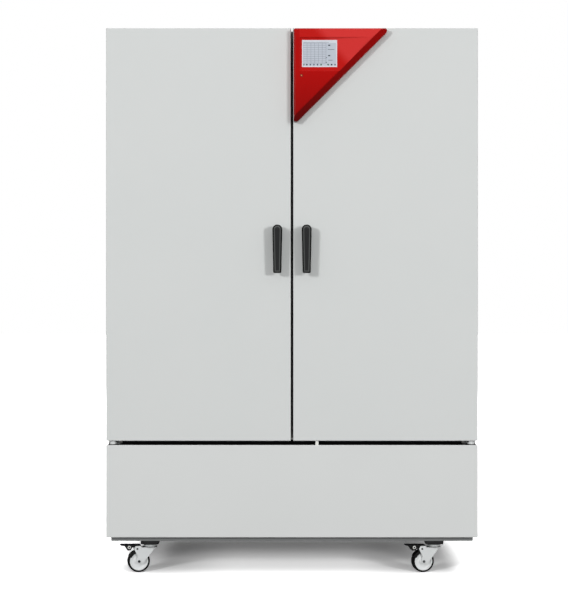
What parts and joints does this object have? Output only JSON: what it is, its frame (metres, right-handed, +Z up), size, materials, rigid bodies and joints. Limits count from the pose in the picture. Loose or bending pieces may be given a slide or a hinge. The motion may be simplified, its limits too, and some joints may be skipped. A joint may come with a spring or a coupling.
{
  "type": "environmental test chamber",
  "caption": "Two-door insulated climate chamber with a triangular corner controller, lever handles, inner glass doors, shelves and a machine base on swivel casters.",
  "frame": {"origin": "on the floor, at the middle of the overall width and depth", "axes": "+Z up, +X to the right seen from the front, +Y from the doors to the back"},
  "size_m": [1.25, 0.886, 1.8365],
  "materials": {
    "painted_panel": "satin",
    "frame_steel": "satin",
    "stainless": "satin",
    "foam": "matte",
    "dark_moulding": "satin",
    "seal_rubber": "matte",
    "silicone": "satin",
    "cast_aluminium": "satin",
    "black_enamel": "gloss",
    "zinc_plate": "satin",
    "pale_plastic": "satin",
    "handle_plastic": "satin",
    "red_housing": "satin",
    "screen": "gloss",
    "clear_glass": "gloss",
    "wheel_nylon": "satin",
    "tyre_rubber": "matte",
    "heater_sheath": "satin"
  },
  "bodies": {
    "cabinet": {"base_frame": "frame_steel", "side_panel_left": "painted_panel", "side_panel_right": "painted_panel", "top_panel": "painted_panel", "rear_panel": "painted_panel", "base_front_panel": "painted_panel", "base_rear_grille": "painted_panel", "door_sill": "dark_moulding", "chamber_insulation": "foam", "inner_chamber": "stainless", "front_frame": "stainless", "inner_door_gasket": "silicone", "air_ducts": "stainless", "fan_panel": "stainless", "fan_motor": "cast_aluminium", "evaporator": "cast_aluminium", "heater_coil": "heater_sheath", "shelf_rails": "stainless", "shelves": "stainless", "compressor": "black_enamel", "condenser": "cast_aluminium", "control_box": "zinc_plate", "hinge_brackets": "zinc_plate", "door_glide": "pale_plastic", "caster_plates": "zinc_plate", "access_port": "stainless", "power_inlet": "dark_moulding"},
    "left_outer_door": {"left_door_skin": "painted_panel", "left_door_inner": "foam", "left_door_gasket": "seal_rubber", "left_handle_base": "handle_plastic"},
    "left_lever": {"left_handle": "handle_plastic"},
    "left_glass_door": {"left_glass_pane": "clear_glass", "left_glass_fittings": "stainless"},
    "right_outer_door": {"right_door_skin": "painted_panel", "right_door_inner": "foam", "right_door_gasket": "seal_rubber", "right_handle_base": "handle_plastic", "controller_housing": "red_housing", "controller_screen": "screen"},
    "right_lever": {"right_handle": "handle_plastic"},
    "right_glass_door": {"right_glass_pane": "clear_glass", "right_glass_fittings": "stainless"},
    "circulation_fan": {"circulation_fan": "cast_aluminium"},
    "condenser_fan": {"condenser_fan": "dark_moulding"},
    "port_plug": {"port_plug": "silicone"},
    "front_left_caster": {"front_left_fork": "zinc_plate"},
    "front_left_wheel": {"front_left_rim": "wheel_nylon", "front_left_tyre": "tyre_rubber"},
    "front_left_pedal": {"front_left_brake_pedal": "dark_moulding"},
    "front_right_caster": {"front_right_fork": "zinc_plate"},
    "front_right_wheel": {"front_right_rim": "wheel_nylon", "front_right_tyre": "tyre_rubber"},
    "front_right_pedal": {"front_right_brake_pedal": "dark_moulding"},
    "rear_left_caster": {"rear_left_fork": "zinc_plate"},
    "rear_left_wheel": {"rear_left_rim": "wheel_nylon", "rear_left_tyre": "tyre_rubber"},
    "rear_right_caster": {"rear_right_fork": "zinc_plate"},
    "rear_right_wheel": {"rear_right_rim": "wheel_nylon", "rear_right_tyre": "tyre_rubber"}
  },
  "joints": [
    {"name": "left_door_swing", "type": "hinge", "parent": "cabinet", "child": "left_outer_door", "pos_m": [-0.603, -0.373, 0.449], "axis": [0, 0, -1], "range_deg": [0, 105]},
    {"name": "left_lever_pull", "type": "hinge", "parent": "left_outer_door", "child": "left_lever", "pos_m": [-0.049, -0.426, 1.158], "axis": [-1, 0, 0], "range_deg": [0, 22], "stiffness_Nm_per_rad": 0.6, "springref_deg": -17.19},
    {"name": "left_glass_swing", "type": "hinge", "parent": "cabinet", "child": "left_glass_door", "pos_m": [-0.5, -0.3143, 0.51775], "axis": [0, 0, -1], "range_deg": [0, 90]},
    {"name": "right_door_swing", "type": "hinge", "parent": "cabinet", "child": "right_outer_door", "pos_m": [0.603, -0.373, 0.449], "axis": [0, 0, 1], "range_deg": [0, 105]},
    {"name": "right_lever_pull", "type": "hinge", "parent": "right_outer_door", "child": "right_lever", "pos_m": [0.049, -0.426, 1.158], "axis": [-1, 0, 0], "range_deg": [0, 22], "stiffness_Nm_per_rad": 0.6, "springref_deg": -17.19},
    {"name": "right_glass_swing", "type": "hinge", "parent": "cabinet", "child": "right_glass_door", "pos_m": [0.5, -0.3143, 0.51775], "axis": [0, 0, 1], "range_deg": [0, 90]},
    {"name": "circulation_fan_spin", "type": "hinge", "parent": "cabinet", "child": "circulation_fan", "pos_m": [0, 0.313, 1.14275], "axis": [0, 1, 0], "continuous": true},
    {"name": "condenser_fan_spin", "type": "hinge", "parent": "cabinet", "child": "condenser_fan", "pos_m": [0.06, 0.119, 0.242], "axis": [0, 1, 0], "continuous": true},
    {"name": "port_plug_pull", "type": "slide", "parent": "cabinet", "child": "port_plug", "axis": [-1, 0, 0], "range_m": [0, 0.1]},
    {"name": "front_left_swivel", "type": "hinge", "parent": "cabinet", "child": "front_left_caster", "pos_m": [-0.482, -0.333, 0.1], "axis": [0, 0, 1], "continuous": true},
    {"name": "front_left_roll", "type": "hinge", "parent": "front_left_caster", "child": "front_left_wheel", "pos_m": [-0.52097, -0.342, 0.0375], "axis": [0.225, -0.9744, 0], "continuous": true},
    {"name": "front_left_brake", "type": "hinge", "parent": "front_left_caster", "child": "front_left_pedal", "pos_m": [-0.52682, -0.34335, 0.08], "axis": [0.225, -0.9744, 0], "range_deg": [0, 12]},
    {"name": "front_right_swivel", "type": "hinge", "parent": "cabinet", "child": "front_right_caster", "pos_m": [0.482, -0.333, 0.1], "axis": [0, 0, 1], "continuous": true},
    {"name": "front_right_roll", "type": "hinge", "parent": "front_right_caster", "child": "front_right_wheel", "pos_m": [0.44303, -0.342, 0.0375], "axis": [0.225, -0.9744, 0], "continuous": true},
    {"name": "front_right_brake", "type": "hinge", "parent": "front_right_caster", "child": "front_right_pedal", "pos_m": [0.43718, -0.34335, 0.08], "axis": [0.225, -0.9744, 0], "range_deg": [0, 12]},
    {"name": "rear_left_swivel", "type": "hinge", "parent": "cabinet", "child": "rear_left_caster", "pos_m": [-0.482, 0.381, 0.1], "axis": [0, 0, 1], "continuous": true},
    {"name": "rear_left_roll", "type": "hinge", "parent": "rear_left_caster", "child": "rear_left_wheel", "pos_m": [-0.52097, 0.372, 0.0375], "axis": [0.225, -0.9744, 0], "continuous": true},
    {"name": "rear_right_swivel", "type": "hinge", "parent": "cabinet", "child": "rear_right_caster", "pos_m": [0.482, 0.381, 0.1], "axis": [0, 0, 1], "continuous": true},
    {"name": "rear_right_roll", "type": "hinge", "parent": "rear_right_caster", "child": "rear_right_wheel", "pos_m": [0.44303, 0.372, 0.0375], "axis": [0.225, -0.9744, 0], "continuous": true}
  ],
  "couplings": [
    {"joint": "left_glass_swing", "follows": "left_door_swing", "ratio": 0.85},
    {"joint": "right_glass_swing", "follows": "right_door_swing", "ratio": 0.85}
  ]
}
